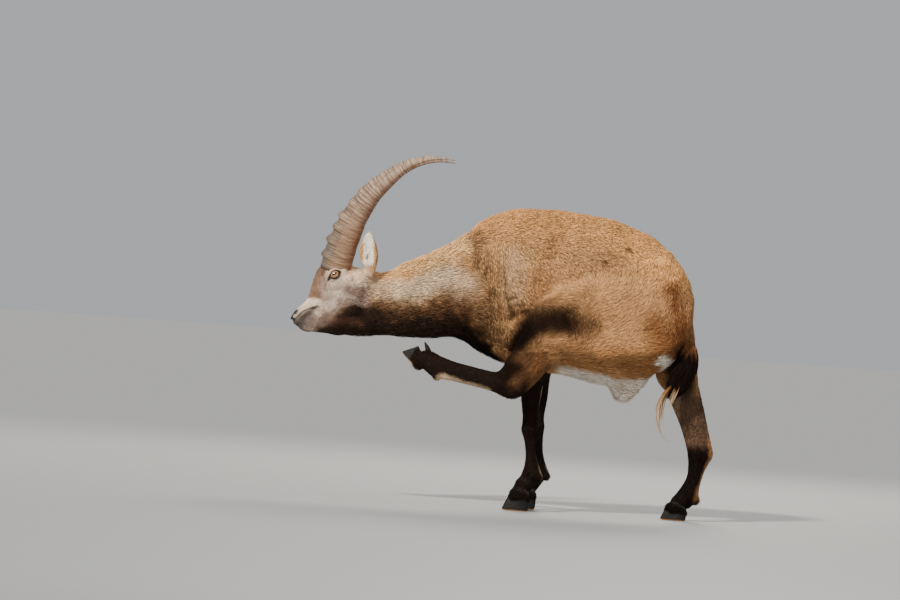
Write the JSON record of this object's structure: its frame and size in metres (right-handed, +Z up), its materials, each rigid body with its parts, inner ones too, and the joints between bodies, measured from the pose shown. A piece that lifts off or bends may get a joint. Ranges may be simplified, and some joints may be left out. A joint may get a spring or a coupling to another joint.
{
  "type": "alpine ibex",
  "caption": "Life-size young male alpine ibex with ridged horns, back arched, scratching its throat with a raised hind foot.",
  "frame": {"origin": "middle of the animal's bounding box on the floor, under the soles", "axes": "+Z up, -X towards the head, -Y towards the animal's own left side"},
  "size_m": [1.2564, 0.3768, 1.0035],
  "materials": {
    "coat": "short dense fur",
    "dark_coat": "short dark fur",
    "pale_coat": "short pale fur",
    "horn": "ridged dry horn, satin",
    "hoof": "dark horn, satin",
    "eye": "wet, glossy"
  },
  "bodies": {
    "root": {"torso": "coat", "neck": "coat", "eye_left": "eye", "ear_left": "pale_coat", "horn_left": "horn", "eye_right": "eye", "ear_right": "pale_coat", "horn_right": "horn", "head": "coat", "thigh_left": "coat", "shank_left": "dark_coat", "shin_left": "dark_coat", "pastern_hind_left": "dark_coat", "hoof_hind_left_outer": "hoof", "dewclaw_hind_left_outer": "hoof", "hoof_hind_left_inner": "hoof", "dewclaw_hind_left_inner": "hoof", "thigh_right": "coat", "shank_right": "dark_coat", "shin_right": "dark_coat", "pastern_hind_right": "dark_coat", "hoof_hind_right_outer": "hoof", "dewclaw_hind_right_outer": "hoof", "hoof_hind_right_inner": "hoof", "dewclaw_hind_right_inner": "hoof", "forearm_left": "dark_coat", "cannon_left": "dark_coat", "pastern_fore_left": "dark_coat", "hoof_fore_left_outer": "hoof", "dewclaw_fore_left_outer": "hoof", "hoof_fore_left_inner": "hoof", "dewclaw_fore_left_inner": "hoof", "forearm_right": "dark_coat", "cannon_right": "dark_coat", "pastern_fore_right": "dark_coat", "hoof_fore_right_outer": "hoof", "dewclaw_fore_right_outer": "hoof", "hoof_fore_right_inner": "hoof", "dewclaw_fore_right_inner": "hoof", "pouch": "pale_coat", "tail": "dark_coat"}
  },
  "joints": []
}
